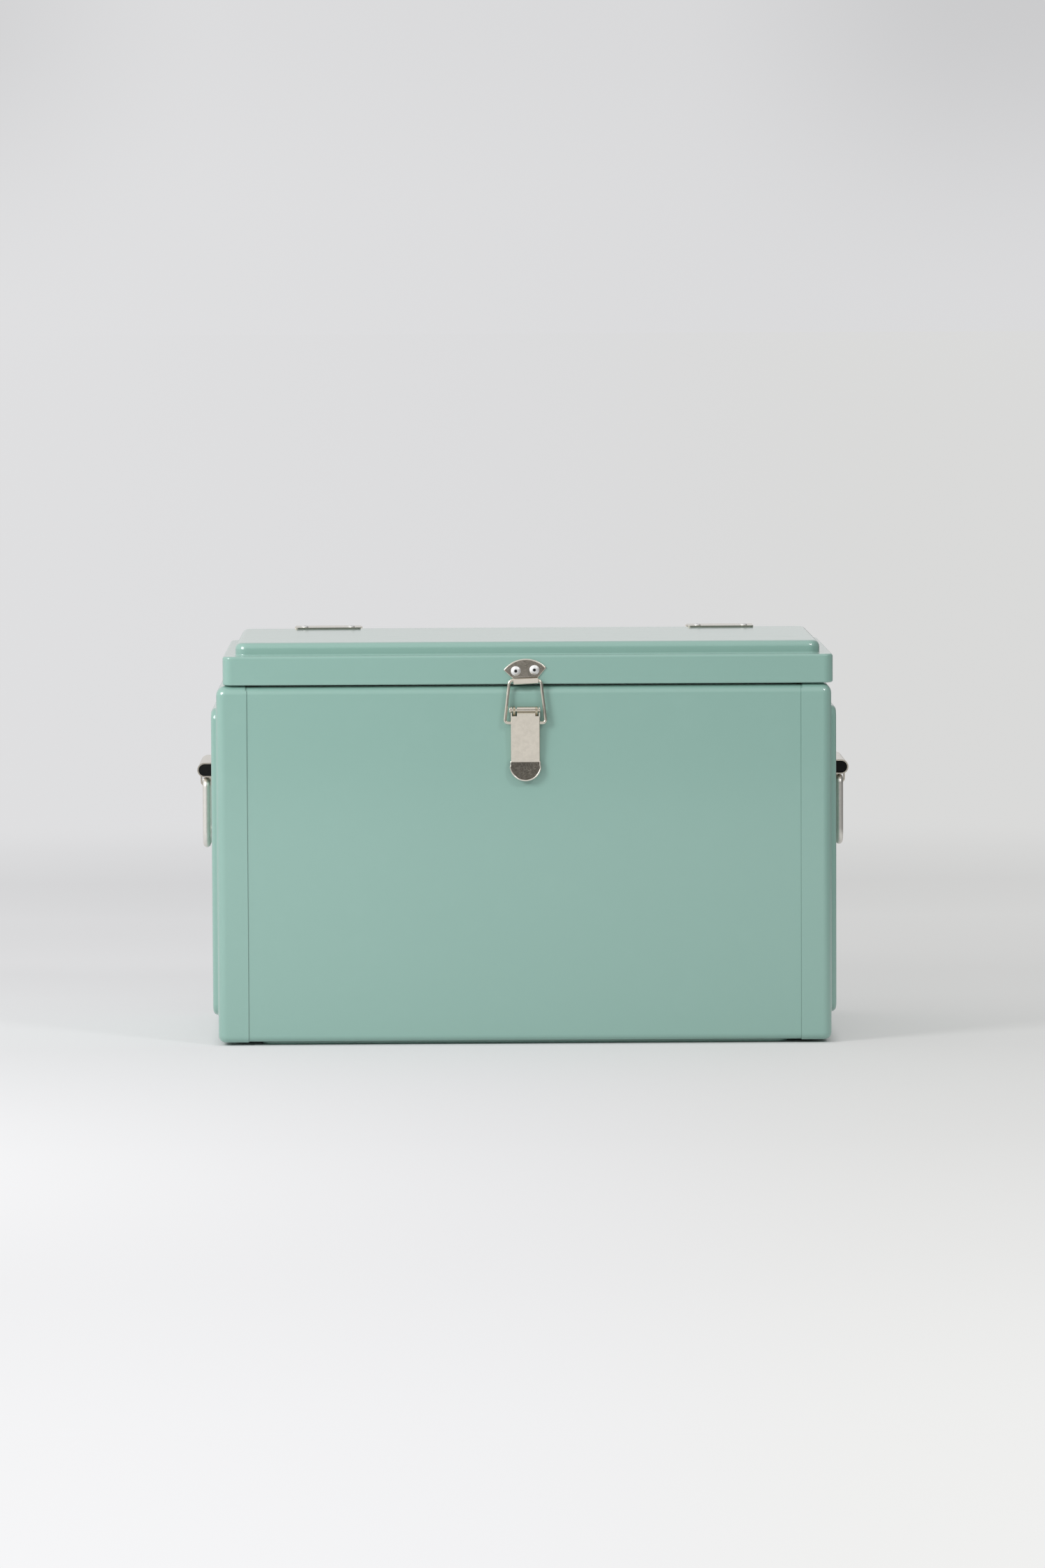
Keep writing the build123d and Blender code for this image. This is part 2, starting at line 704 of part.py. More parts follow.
tab_plane = Plane(
    lever_plane.from_local_coords((0, tab_root, face_w)),
    x_dir=(1, 0, 0),
    z_dir=(0, -cos(lean - radians(tab_kick)), -sin(lean - radians(tab_kick))),
)
lever_side = Plane(lever_plane.origin, x_dir=lever_plane.z_dir, z_dir=(-1, 0, 0))
bail_eye = Vector(0, pivot_y + pivot_out - bail_pivot_out, pivot_z - bail_pivot_down)
roll_left = lever_knuckle_shift - lever_knuckle_w / 2
roll_right = lever_knuckle_shift + lever_knuckle_w / 2
with BuildPart() as finger_tab:
    with BuildSketch(tab_plane) as tab_outline:
        with BuildLine():
            Polyline(
                (-tab_w / 2, -tab_shoulder), (-lever_w / 2, -latch_t / 2), (-lever_w / 2, latch_t / 4),
                (lever_w / 2, latch_t / 4), (lever_w / 2, -latch_t / 2), (tab_w / 2, -tab_shoulder),
            )
            ThreePointArc((tab_w / 2, -tab_shoulder), (0, -tab_len), (-tab_w / 2, -tab_shoulder))
        make_face()
        widest = tab_outline.vertices().group_by(Axis.X)
        fillet([*widest[0], *widest[-1]], tab_corner)
    extrude(amount=latch_t)
    show_face = finger_tab.faces().sort_by(Axis(tab_plane.origin, tab_plane.z_dir))[-1]
    fillet(show_face.edges().sort_by(Axis.Z)[0:5], edge_round)
with BuildPart() as latch_lever:
    with BuildSketch(lever_plane.offset(face_w)):
        with BuildLine():
            Polyline(
                (-lever_w / 2, tab_root), (lever_w / 2, tab_root), (lever_w / 2, -lever_head_cut),
                (roll_right, -lever_head_cut), (roll_right, head_edge), (roll_left, head_edge),
                (roll_left, -lever_head_cut), (-lever_w / 2, -lever_head_cut), close=True,
            )
        make_face()
    extrude(amount=latch_t)
    for end in (-1, 1):
        with BuildSketch(lever_side.offset(end * ear_x)):
            with BuildLine():
                Polyline(
                    (lever_face_out, tab_root), (lever_face_out, -lever_head_cut), (ear_r, 0),
                    (0, 0), (-ear_r, 0), (back_edge(-lever_head_cut), -lever_head_cut),
                    (back_edge(tab_root + 2 * latch_t), tab_root + 2 * latch_t), (face_w, tab_root),
                    close=True,
                )
            make_face()
            Circle(ear_r)
            Circle(pin_r + running, mode=Mode.SUBTRACT)
        extrude(amount=end * latch_t)
    fillet(
        latch_lever.edges()
        .filter_by(lambda e: e.length > lever_len / 2)
        .filter_by(lambda e: abs(e.center().X - latch_x) > lever_w / 2 - lever_bend)
        .sort_by(Axis.Y)[0:2],
        lever_bend,
    )
    with BuildSketch(lever_side.offset(-lever_knuckle_shift)):
        Circle(knuckle_r)
        Circle(pin_r + running, mode=Mode.SUBTRACT)
    extrude(amount=lever_knuckle_w / 2, both=True)
    add(finger_tab.part)
    with BuildSketch(Plane.YZ.offset(latch_x)):
        with Locations((bail_eye.Y, bail_eye.Z)):
            Circle(wire_r + hole_clear)
    extrude(amount=lever_w, both=True, mode=Mode.SUBTRACT)
save(latch_lever.part, "latch_lever")

# catch plate on the lid's skirt, its lower edge curled forward into a hook
catch_side = Plane(catch_plane.origin, x_dir=catch_plane.z_dir, z_dir=catch_plane.x_dir * -1)
hook_out = latch_t + hook_slot + latch_t
lip_lean = (hook_bottom_down - hook_top_down) * tan(radians(hook_flare))
with BuildPart() as latch_catch:
    with BuildSketch(catch_plane):
        with BuildLine():
            Polyline(
                (-fan_w / 2, fan_point_up), (-hook_w / 2, -hook_top_down), (hook_w / 2, -hook_top_down),
                (fan_w / 2, fan_point_up),
            )
            ThreePointArc((fan_w / 2, fan_point_up), (0, fan_top_up), (-fan_w / 2, fan_point_up))
        make_face()
    extrude(amount=latch_t)
    fan_tips = latch_catch.edges().filter_by(Axis.Y)
    fillet([fan_tips.sort_by(Axis.X)[0], fan_tips.sort_by(Axis.X)[-1]], latch_t)
    fan_outline = latch_catch.faces().sort_by(Axis.Y)[0].edges()
    fillet(fan_outline.sort_by(Axis.Z)[1:], edge_round)
    with BuildSketch(catch_side):
        with BuildLine():
            FilletPolyline(
                (0, -hook_top_down), (0, -hook_bottom_down), (hook_out, -hook_bottom_down),
                (hook_out + lip_lean, -hook_top_down), radius=hook_bend,
            )
            Polyline((hook_out + lip_lean, -hook_top_down), (hook_out + lip_lean - latch_t, -hook_top_down))
            FilletPolyline(
                (hook_out + lip_lean - latch_t, -hook_top_down), (hook_out - latch_t, latch_t - hook_bottom_down),
                (latch_t, latch_t - hook_bottom_down), (latch_t, -hook_top_down),
                radius=hook_bend - latch_t,
            )
            Polyline((latch_t, -hook_top_down), (0, -hook_top_down))
        make_face()
    extrude(amount=hook_w / 2, both=True)
    catch_holes = bore(catch_face, catch_spots, shank_hole, latch_t + through)
    add(catch_holes, mode=Mode.SUBTRACT)
save(latch_catch.part, "latch_catch")
save(rivets(catch_face, catch_spots, latch_grip), "latch_catch_rivets")

# wire bail between the lever's sides and the hook
hook_rise = hook_w / 2 * sin(radians(catch_tilt))
bail_head = Vector(
    0,
    lid_front - latch_t - hook_slack - wire_r,
    catch_z - hook_bottom_down + latch_t + hook_rise + hook_slack + wire_r,
)
bail_len = hypot(bail_head.Y - bail_eye.Y, bail_head.Z - bail_eye.Z)
bail_up = Vector(0, bail_head.Y - bail_eye.Y, bail_head.Z - bail_eye.Z).normalized()
bail_plane = Plane(
    (latch_x, bail_eye.Y, bail_eye.Z), x_dir=(1, 0, 0), z_dir=Vector(1, 0, 0).cross(bail_up)
)
foot_in = ear_x - bail_in
with BuildPart() as latch_bail:
    with BuildLine(bail_plane) as bail_path:
        FilletPolyline(
            (-foot_in, 0), (-bail_foot_w / 2, 0), (-bail_head_w / 2, bail_len),
            (bail_head_w / 2, bail_len), (bail_foot_w / 2, 0), (foot_in, 0),
            radius=[bail_foot_bend, bail_head_bend, bail_head_bend, bail_foot_bend],
        )
    with BuildSketch(Plane(bail_path.line @ 0, z_dir=bail_path.line % 0)):
        Circle(wire_r)
    sweep()
save(latch_bail.part, "latch_bail")

# ================================================================ end handles
# side view of the right handle: first coordinate out from the pressed-out panel
handle_side = Plane((emboss_x, 0, handle_z), x_dir=(1, 0, 0), z_dir=(0, -1, 0))
hood_mid = hood_out - hood_r
eye = (handle_axis_out, -handle_axis_down)
eye_hole_r = handle_wire_r + eye_clear
eye_r = eye_hole_r + bracket_t
with BuildPart() as handle_bracket_right:
    with BuildSketch(handle_side):
        Polygon(
            (0, -hood_r), (hood_mid, -hood_r), (hood_mid, hood_r), (0, hood_r), align=None
        )
        with Locations((hood_mid, 0)):
            Circle(hood_r)
            Circle(hood_r - bracket_t, mode=Mode.SUBTRACT)
        Polygon(
            (0, bracket_t - hood_r), (hood_mid, bracket_t - hood_r), (hood_mid, hood_r - bracket_t),
            (0, hood_r - bracket_t), align=None, mode=Mode.SUBTRACT,
        )
    extrude(amount=hood_len / 2, both=True)
    with BuildSketch(handle_face.offset(-bracket_t)):
        with Locations((0, hood_r + flange_up / 2 - bracket_t / 2)):
            Rectangle(hood_len, flange_up + bracket_t)
        with Locations((0, -hood_r - flange_down / 2 + bracket_t / 2)):
            Rectangle(flange_low_len, flange_down + bracket_t)
    extrude(amount=bracket_t)
    plate_corners = handle_bracket_right.edges().filter_by(Axis.X)
    fillet(plate_corners.group_by(Axis.Z)[0], flange_corner)
    fillet(plate_corners.group_by(Axis.Z)[-1], flange_corner)
    for end in (-1, 1):
        with BuildSketch(handle_side.offset(end * (eye_out - eye_w))):
            Polygon(
                (eye[0] - eye_r, eye[1]), (eye[0] + eye_r, eye[1]),
                (eye[0] + eye_r, bracket_t / 2 - hood_r), (eye[0] - eye_r, bracket_t / 2 - hood_r),
                align=None,
            )
            with Locations(eye):
                Circle(eye_r)
                Circle(eye_hole_r, mode=Mode.SUBTRACT)
            Polygon(
                (eye[0] - eye_hole_r, eye[1]), (eye[0] + eye_hole_r, eye[1]),
                (eye[0] + eye_hole_r, -hood_r), (eye[0] - eye_hole_r, -hood_r),
                align=None, mode=Mode.SUBTRACT,
            )
        extrude(amount=end * eye_w)
    bracket_holes = bore(handle_face, handle_spots, shank_hole, bracket_t + through)
    add(bracket_holes, mode=Mode.SUBTRACT)

filler_r = hood_r - bracket_t - insert_clear
with BuildPart() as handle_insert_right:
    with BuildSketch(handle_side):
        Polygon(
            (insert_clear, -filler_r), (hood_mid, -filler_r), (hood_mid, filler_r),
            (insert_clear, filler_r), align=None,
        )
        with Locations((hood_mid, 0)):
            Circle(filler_r)
    extrude(amount=hood_len / 2 - insert_recess, both=True)
    fillet(handle_insert_right.edges().group_by(Axis.Y)[0], insert_recess / 2)
    fillet(handle_insert_right.edges().group_by(Axis.Y)[-1], insert_recess / 2)

axis_z = handle_z - handle_axis_down
grip_plane = Plane((emboss_x + handle_axis_out, 0, axis_z), x_dir=(0, 1, 0), z_dir=(1, 0, 0))
pin_end = leg_out - handle_wire_r - pin_reach
with BuildPart() as handle_bail_right:
    with BuildLine(grip_plane) as grip_path:
        FilletPolyline(
            (-pin_end, 0), (-leg_out, 0), (-leg_out, -handle_drop), (leg_out, -handle_drop),
            (leg_out, 0), (pin_end, 0), radius=[elbow_r, grip_bend, grip_bend, elbow_r],
        )
    with BuildSketch(Plane(grip_path.line @ 0, z_dir=grip_path.line % 0)):
        Circle(handle_wire_r)
    sweep()

right_handle = {
    "handle_bracket": handle_bracket_right.part,
    "handle_insert": handle_insert_right.part,
    "handle_bail": handle_bail_right.part,
}
for name, piece in right_handle.items():
    save(piece, f"{name}_right")
    with BuildPart() as left_piece:
        mirror(piece, about=Plane.YZ)
    save(left_piece.part, f"{name}_left")

right_rivets = rivets(handle_face, handle_spots, handle_grip)
save(right_rivets, "handle_rivets_right")
save(Part(children=[mirror(r, about=Plane.YZ) for r in right_rivets.children]), "handle_rivets_left")
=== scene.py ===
"""Insulated drinks cooler chest in enamelled sheet steel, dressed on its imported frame."""

import json
import math

import bmesh
import bpy
from mathutils import Matrix, Vector


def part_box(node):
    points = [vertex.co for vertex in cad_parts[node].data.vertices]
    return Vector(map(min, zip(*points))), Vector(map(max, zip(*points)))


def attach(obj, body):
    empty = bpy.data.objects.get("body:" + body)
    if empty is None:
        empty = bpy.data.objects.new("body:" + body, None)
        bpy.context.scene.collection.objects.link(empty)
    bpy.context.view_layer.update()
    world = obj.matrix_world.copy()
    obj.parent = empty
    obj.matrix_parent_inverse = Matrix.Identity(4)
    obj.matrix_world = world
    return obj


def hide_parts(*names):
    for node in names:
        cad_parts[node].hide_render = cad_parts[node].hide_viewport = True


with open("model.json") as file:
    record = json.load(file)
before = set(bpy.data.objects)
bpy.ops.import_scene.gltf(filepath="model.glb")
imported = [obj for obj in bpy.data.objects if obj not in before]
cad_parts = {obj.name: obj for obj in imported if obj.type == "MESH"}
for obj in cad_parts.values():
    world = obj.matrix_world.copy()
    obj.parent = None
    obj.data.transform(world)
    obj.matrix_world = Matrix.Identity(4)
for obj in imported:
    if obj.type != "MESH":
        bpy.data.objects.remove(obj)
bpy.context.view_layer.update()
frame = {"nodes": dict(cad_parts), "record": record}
NODES = frame["nodes"]
MM = 0.001


# ---------------------------------------------------------------- node trees
class Value:
    """A node's output that sums and products can be written on."""

    def __init__(self, tree, out):
        self.tree, self.out = tree, out

    def math(self, operation, *others):
        return self.tree.add("ShaderNodeMath", {"operation": operation}, (self, *others))

    def from_(self, operation, other):
        return self.tree.add("ShaderNodeMath", {"operation": operation}, (other, self))

    def __add__(self, other):
        return self.math("ADD", other)

    def __sub__(self, other):
        return self.math("SUBTRACT", other)

    def __mul__(self, other):
        return self.math("MULTIPLY", other)

    def __truediv__(self, other):
        return self.math("DIVIDE", other)

    def __pow__(self, other):
        return self.math("POWER", other)

    def __rsub__(self, other):
        return self.from_("SUBTRACT", other)

    def __rtruediv__(self, other):
        return self.from_("DIVIDE", other)

    def __abs__(self):
        return self.math("ABSOLUTE")

    def __gt__(self, other):
        return self.math("GREATER_THAN", other)

    __radd__, __rmul__ = __add__, __mul__


class Tree:
    """Any node tree, with one way to add a node to it."""

    def __init__(self, tree):
        self.tree = tree
        tree.nodes.clear()

    def add(self, kind, settings=None, values=(), output=0):
        node = self.tree.nodes.new(kind)
        for key, value in (settings or {}).items():
            if key == "stops":
                ramp = node.color_ramp.elements
                while len(ramp) < len(value):
                    ramp.new(0.5)
                for stop, (place, colour) in zip(ramp, value):
                    stop.position, stop.color = place, (*colour, 1.0)
            elif key == "points":
                curve = node.mapping.curves[0].points
                while len(curve) < len(value):
                    curve.new(0.5, 0.5)
                for point, place in zip(curve, value):
                    point.location, point.handle_type = place, "VECTOR"
                node.mapping.update()
            else:
                setattr(node, key, value)
        named = values.items() if isinstance(values, dict) else enumerate(values)
        for key, value in named:
            if isinstance(value, Value):
                self.tree.links.new(value.out, node.inputs[key])
            elif value is not None:
                node.inputs[key].default_value = value
        return Value(self, node.outputs[output]) if node.outputs else None

    def source(self, kind, *keys):
        """Several outputs of a node that takes no input, in the order of their names."""
        node = self.tree.nodes.new(kind)
        return [Value(self, node.outputs[key]) for key in keys]

    def parts(self, vector):
        """The three numbers of a vector."""
        node = self.add("ShaderNodeSeparateXYZ", values=(vector,)).out.node
        return [Value(self, out) for out in node.outputs]


class Finish(Tree):
    """The tree of a material or world, with the patterns that this chest's finishes are made of."""

    def __init__(self, owner):
        self.owner = owner
        owner.use_nodes = True
        super().__init__(owner.node_tree)

    @classmethod
    def named(cls, name):
        return cls(bpy.data.materials.new(name))

    def place(self):
        return self.add("ShaderNodeTexCoord", output=3)

    def stretched(self, *scale):
        return self.add("ShaderNodeMapping", values={"Vector": self.place(), "Scale": scale})

    def noise(self, scale, detail=2.0, rough=0.5, at=None):
        values = {"Vector": at or self.place(), "Scale": scale, "Detail": detail, "Roughness": rough}
        return self.add("ShaderNodeTexNoise", values=values)

    def cells(self, scale, at=None):
        return self.add("ShaderNodeTexVoronoi", values={"Vector": at or self.place(), "Scale": scale})

    def between(self, value, low, high, first=0.0, last=1.0):
        settings = {"interpolation_type": "SMOOTHSTEP"}
        return self.add("ShaderNodeMapRange", settings, (value, low, high, first, last))

    def mix(self, share, first, second, blend="MIX"):
        first, second = [c if isinstance(c, Value) else (*c, 1.0) for c in (first, second)]
        settings = {"data_type": "RGBA", "blend_type": blend}
        return self.add("ShaderNodeMix", settings, {0: share, 6: first, 7: second}, output=2)

    def bump(self, height, depth, under=None):
        values = {"Height": height, "Distance": depth, "Strength": 1.0}
        if under:
            values["Normal"] = under
        return self.add("ShaderNodeBump", values=values)

    def surface(self, colour, rough, normal=None, **sockets):
        values = {"Base Color": colour if isinstance(colour, Value) else (*colour, 1.0), "Roughness": rough}
        values.update({key.replace("_", " "): value for key, value in sockets.items()})
        if normal:
            values["Normal"] = normal
        return self.finish(self.add("ShaderNodeBsdfPrincipled", values=values))

    def finish(self, shader):
        self.add("ShaderNodeOutputMaterial", values=(shader,))
        return self.owner


# ---------------------------------------------------------------- finishes
HOLLOW = "hollow"           # attribute that marks the inside of a rivet's hole
FADE = 0.4 * MM             # height over which one skin of a plate passes into the next


def enamel(name, seam=0.0):
    """Sage green stoved enamel: even colour, faint orange peel, rubbed patches, and painted shade along the
    seams.
    """
    f = Finish.named(name)
    broad = f.noise(5.0, 3.0)
    rubbed = f.between(f.noise(28.0, 5.0, 0.62), 0.52, 0.78)
    specks = f.between(f.cells(230.0), 0.02, 0.07, 1.0, 0.0)
    dusty = specks * f.between(f.noise(60.0), 0.6, 0.75)
    tone = f.mix(broad, (0.272, 0.456, 0.396), (0.280, 0.466, 0.407))
    tone = f.mix(rubbed * 0.08, tone, (0.34, 0.53, 0.47))
    tone = f.mix(dusty * 0.2, tone, (0.62, 0.66, 0.62))
    if seam:
        across = f.parts(f.place())[0]
        # painted shade: a dark line along each seam, where the crevice between end cap and wrap lies in shade
        seam_shade = f.between(abs(abs(across) - seam), 0.15 * MM, 0.6 * MM, 1.0, 0.0)
        tone = f.mix(seam_shade * 0.5, tone, (0.05, 0.09, 0.075))
    normal = f.bump(f.noise(420.0, 2.0), 0.02 * MM)
    normal = f.bump(f.noise(14.0, 1.0), 0.2 * MM, normal)
    rough = 0.27 + 0.05 * broad + 0.08 * rubbed
    return f.surface(tone, rough, normal, Coat_Weight=0.9, Coat_Roughness=0.10)


def nickel(name, colour=(0.78, 0.725, 0.63), rough=0.15, mottle=0.10, pebbled=(), crease=()):
    """Nickel plate on steel: cloudy dulling and pin spots.

    pebbled is the low and high end and the strength of a pebbled skin, and crease the two ends of a
    band of painted shade along a crease, all heights above the floor.
    """
    f = Finish.named(name)
    height = f.parts(f.place())[2]
    cloud = f.between(f.noise(210.0, 6.0, 0.7), 0.38, 0.66)
    spots = f.between(f.cells(900.0), 0.05, 0.16, 1.0, 0.0) * f.between(f.noise(340.0), 0.55, 0.7)
    lines = f.noise(55.0, 4.0, 0.6, f.stretched(60.0, 4.0, 1.0))
    pebble = f.noise(800.0, 3.0, 0.6)
    dull = tuple(0.72 * c for c in colour)
    stain = tuple(c * s for c, s in zip(colour, (0.45, 0.40, 0.32)))
    tone = f.mix(cloud * mottle, colour, dull)
    tone = f.mix(spots * mottle * 2.0, tone, stain)
    normal = f.bump(pebble, 0.012 * MM, f.bump(lines, 0.001 * MM))
    if crease:
        low, high = crease
        # painted shade: a dark brown band along the crease under the lever's rolled knuckle
        crease_shade = f.between(height, low - 0.3 * MM, low) * f.between(height, high - FADE, high, 1.0, 0.0)
        tone = f.mix(crease_shade * 0.85, tone, (0.20, 0.15, 0.08))
    if pebbled:
        low, high, share = pebbled
        skin = f.between(height, low, low + FADE) * f.between(height, high - FADE, high, 1.0, 0.0)
        tone = f.mix(skin * f.between(pebble, 0.3, 0.7) * share, tone, stain)
        normal = f.bump(pebble * skin, 0.07 * MM * share, normal)
    return f.surface(tone, rough + 0.06 * cloud + 0.03 * lines + 0.2 * spots, normal, Metallic=1.0)


def aluminium():
    """Bare aluminium of blind rivets, dulled by handling, with painted shade in the mandrel's hole."""
    f = Finish.named("rivet_aluminium")
    cloud = f.noise(700.0, 4.0, 0.6)
    hollow = f.add("ShaderNodeAttribute", {"attribute_name": HOLLOW}, output=2)
    tone = f.mix(cloud, (0.84, 0.84, 0.84), (0.95, 0.95, 0.94))
    # painted shade: the inside of the mandrel's hole is made near-black
    tone = f.mix(hollow, tone, (0.10, 0.10, 0.10))
    return f.surface(tone, 0.46 + 0.12 * cloud + 0.3 * hollow, f.bump(cloud, 0.02 * MM), Metallic=1.0)


def foam():
    """Cut polyurethane foam with open cells."""
    f = Finish.named("foam")
    cell = f.cells(480.0)
    tone = f.mix(f.noise(22.0, 3.0), (0.80, 0.68, 0.42), (0.88, 0.80, 0.58))
    return f.surface(f.mix(f.between(cell, 0.1, 0.5), (0.55, 0.42, 0.22), tone), 0.85, f.bump(cell, 0.5 * MM))


def liner():
    """White moulded polypropylene with rub marks and fine grain."""
    f = Finish.named("white_liner")
    marks = f.between(f.noise(9.0, 6.0, 0.7, f.stretched(1.0, 1.0, 5.0)), 0.55, 0.75)
    tone = f.mix(marks * 0.5, (0.80, 0.81, 0.79), (0.68, 0.69, 0.66))
    grain = f.bump(f.noise(900.0, 2.0), 0.02 * MM)
    return f.surface(tone, 0.28 + 0.22 * marks, grain)


def rubber():
    """Soft grey sealing strip with a powdery bloom."""
    f = Finish.named("seal_rubber")
    bloom = f.noise(120.0, 5.0, 0.65)
    tone = f.mix(bloom, (0.24, 0.24, 0.235), (0.36, 0.36, 0.35))
    return f.surface(tone, 0.62 + 0.2 * bloom, f.bump(f.noise(1500.0), 0.03 * MM))


def filler():
    """Black moulded filler of the handle hoods."""
    f = Finish.named("black_filler")
    dust = f.between(f.noise(260.0, 4.0), 0.5, 0.8)
    tone = f.mix(dust, (0.005, 0.005, 0.005), (0.016, 0.015, 0.013))
    grain = f.bump(f.noise(800.0), 0.03 * MM)
    return f.surface(tone, 0.6 + 0.3 * dust, grain, Specular_IOR_Level=0.2)


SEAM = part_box("end_cap_right")[0].x
FINISHES = {
    "green_enamel": enamel("green_enamel"),
    "nickel_steel": nickel("nickel_steel"),
    "rivet_aluminium": aluminium(),
    "foam": foam(),
    "white_liner": liner(),
    "seal_rubber": rubber(),
    "black_filler": filler(),
}
SLOTS = {part["node"]: part["material_slot"] for part in frame["record"]["subparts"]}
LID_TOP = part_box("lid_shell")[1].z
FAN_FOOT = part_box("latch_catch")[0].z + 7.5 * MM        # lower end of the catch's fan, over its hook
TAB_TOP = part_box("latch_lever")[0].z + 18.7 * MM        # upper end of the lever's finger tab
PIN_RADIUS = 1.6 * MM
PIVOT_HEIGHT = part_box("latch_pivot_pin")[1].z - PIN_RADIUS
# band under the lever's knuckle that the lever's finish darkens as painted shade
KNUCKLE_FOOT = (PIVOT_HEIGHT - 3.6 * MM, PIVOT_HEIGHT - 2.1 * MM)
WIRE = nickel("nickel_wire", (0.86, 0.83, 0.78), 0.38, 0.25)
SPECIAL = {
    "body_wrap": enamel("green_enamel_wrap", seam=SEAM),
    "latch_catch": nickel("nickel_catch", pebbled=(FAN_FOOT, LID_TOP, 0.45)),
    "latch_lever": nickel("nickel_lever", mottle=0.03, pebbled=(0.0, TAB_TOP, 0.6), crease=KNUCKLE_FOOT),
    "latch_bail": nickel("nickel_bail", rough=0.27),
    # the base plate's nickel is darker and more golden than the rest: partly its own tint, partly painted
    # shade where it lies behind the lever
    "latch_base_plate": nickel("nickel_base", (0.62, 0.55, 0.42), 0.25, 0.5),
    "handle_bail_left": WIRE,
    "handle_bail_right": WIRE,
}
for node, obj in NODES.items():
    obj.data.materials.clear()
    obj.data.materials.append(SPECIAL.get(node) or FINISHES[SLOTS[node]])


# ---------------------------------------------------------------- rivets
HEAD_RISE = 1.8 * MM
HEAD_RADIUS = 4.75 * MM
RIM_SHARE = 0.5 * MM / HEAD_RISE            # height of the head's upright edge
PIT_SHARE = 1.25 * MM / HEAD_RADIUS         # radius of the broken-off mandrel's hole
DOME_TURN = (0.72, RIM_SHARE + 0.62 * (1.0 - RIM_SHARE))    # where the dome's curve turns down
DOME_STEPS = 8
TURN_STEPS = 40
PIT_POINTS = 4              # points of the half section that lie in the hole
WELD = 0.001 * MM
SHARP_EDGE = math.radians(40.0)


def round_through(first, middle, last, steps):
    """Points of a circle's arc through three points, after the first."""
    (ax, ay), (bx, by), (cx, cy) = first, middle, last
    double = 2.0 * (ax * (by - cy) + bx * (cy - ay) + cx * (ay - by))
    a, b, c = ax * ax + ay * ay, bx * bx + by * by, cx * cx + cy * cy
    x = (a * (by - cy) + b * (cy - ay) + c * (ay - by)) / double
    y = (a * (cx - bx) + b * (ax - cx) + c * (bx - ax)) / double
    radius = math.hypot(ax - x, ay - y)
    start, end = math.atan2(ay - y, ax - x), math.atan2(cy - y, cx - x)
    angles = [start + (end - start) * step / steps for step in range(1, steps + 1)]
    return [(x + radius * math.cos(angle), y + radius * math.sin(angle)) for angle in angles]


def rivet_profile():
    """Radius and height shares of a blind rivet's half section, from the hole's floor to the shank."""
    pit = [(0.0, 0.45), (0.14, 0.5), (0.17, 0.36), (PIT_SHARE - 0.01, 0.36), (PIT_SHARE, 1.0)]
    corners = [pit[-1], DOME_TURN, (1.0, RIM_SHARE)]
    sized = [(radius * HEAD_RADIUS, height * HEAD_RISE) for radius, height in corners]
    dome = [(x / HEAD_RADIUS, y / HEAD_RISE) for x, y in round_through(*sized, DOME_STEPS)]
    return pit + dome + [(1.0, 0.0), (0.5, 0.0), (0.0, 0.0)]


def rivet_tree():
    """Geometry Nodes: turns the half section and sets one rivet on every seat."""
    group = bpy.data.node_groups.new("blind_rivets", "GeometryNodeTree")
    t = Tree(group)
    for name, kind in (("Seats", "Geometry"), ("Head radius", "Float"), ("Head rise", "Float")):
        group.interface.new_socket(name, in_out="INPUT", socket_type="NodeSocket" + kind)
    group.interface.new_socket("Rivets", in_out="OUTPUT", socket_type="NodeSocketGeometry")
    seats, head, rise = t.source("NodeGroupInput", "Seats", "Head radius", "Head rise")
    profile = rivet_profile()
    last = len(profile) - 1
    blank = t.add("GeometryNodeMeshGrid", None, (1.0, 1.0, TURN_STEPS + 1, last + 1))
    turn, along, _ = t.parts(t.add("GeometryNodeInputPosition"))
    along = along + 0.5
    curves = [{"points": [(k / last, corner[axis]) for k, corner in enumerate(profile)]} for axis in (0, 1)]
    radii, heights = [t.add("ShaderNodeFloatCurve", points, {"Value": along}) for points in curves]
    angle = turn * (2.0 * math.pi)
    spot = t.add("ShaderNodeCombineXYZ", None, (
        angle.math("COSINE") * radii * head, angle.math("SINE") * radii * head, heights * rise,
    ))
    pit = 1.0 - (along > (PIT_POINTS + 0.5) / last)
    number = {"data_type": "FLOAT"}
    mark = {"Geometry": blank, "Name": HOLLOW, "Value": pit}
    marked = t.add("GeometryNodeStoreNamedAttribute", number, mark)
    turned = t.add("GeometryNodeSetPosition", None, {"Geometry": marked, "Position": spot})
    closed = t.add("GeometryNodeMergeByDistance", None, {"Geometry": turned, "Distance": WELD})
    facing = t.add("GeometryNodeInputNamedAttribute", {"data_type": "FLOAT_VECTOR"}, {"Name": "facing"})
    stance = t.add("FunctionNodeAlignRotationToVector", {"axis": "Z"}, {"Vector": facing})
    stand = {"Points": seats, "Instance": closed, "Rotation": stance}
    placed = t.add("GeometryNodeInstanceOnPoints", None, stand)
    spin = t.add("FunctionNodeRandomValue", number, {"Min": 0.0, "Max": 2.0 * math.pi, "Seed": 7}, output=1)
    spun = t.add("ShaderNodeCombineXYZ", None, (0.0, 0.0, spin))
    placed = t.add("GeometryNodeRotateInstances", None, {"Instances": placed, "Rotation": spun})
    real = t.add("GeometryNodeRealizeInstances", None, {"Geometry": placed})
    done = t.add("GeometryNodeSetMaterial", None, {"Geometry": real, "Material": FINISHES["rivet_aluminium"]})
    out = group.nodes.new("NodeGroupOutput")
    group.links.new(done.out, out.inputs[0])
    return group


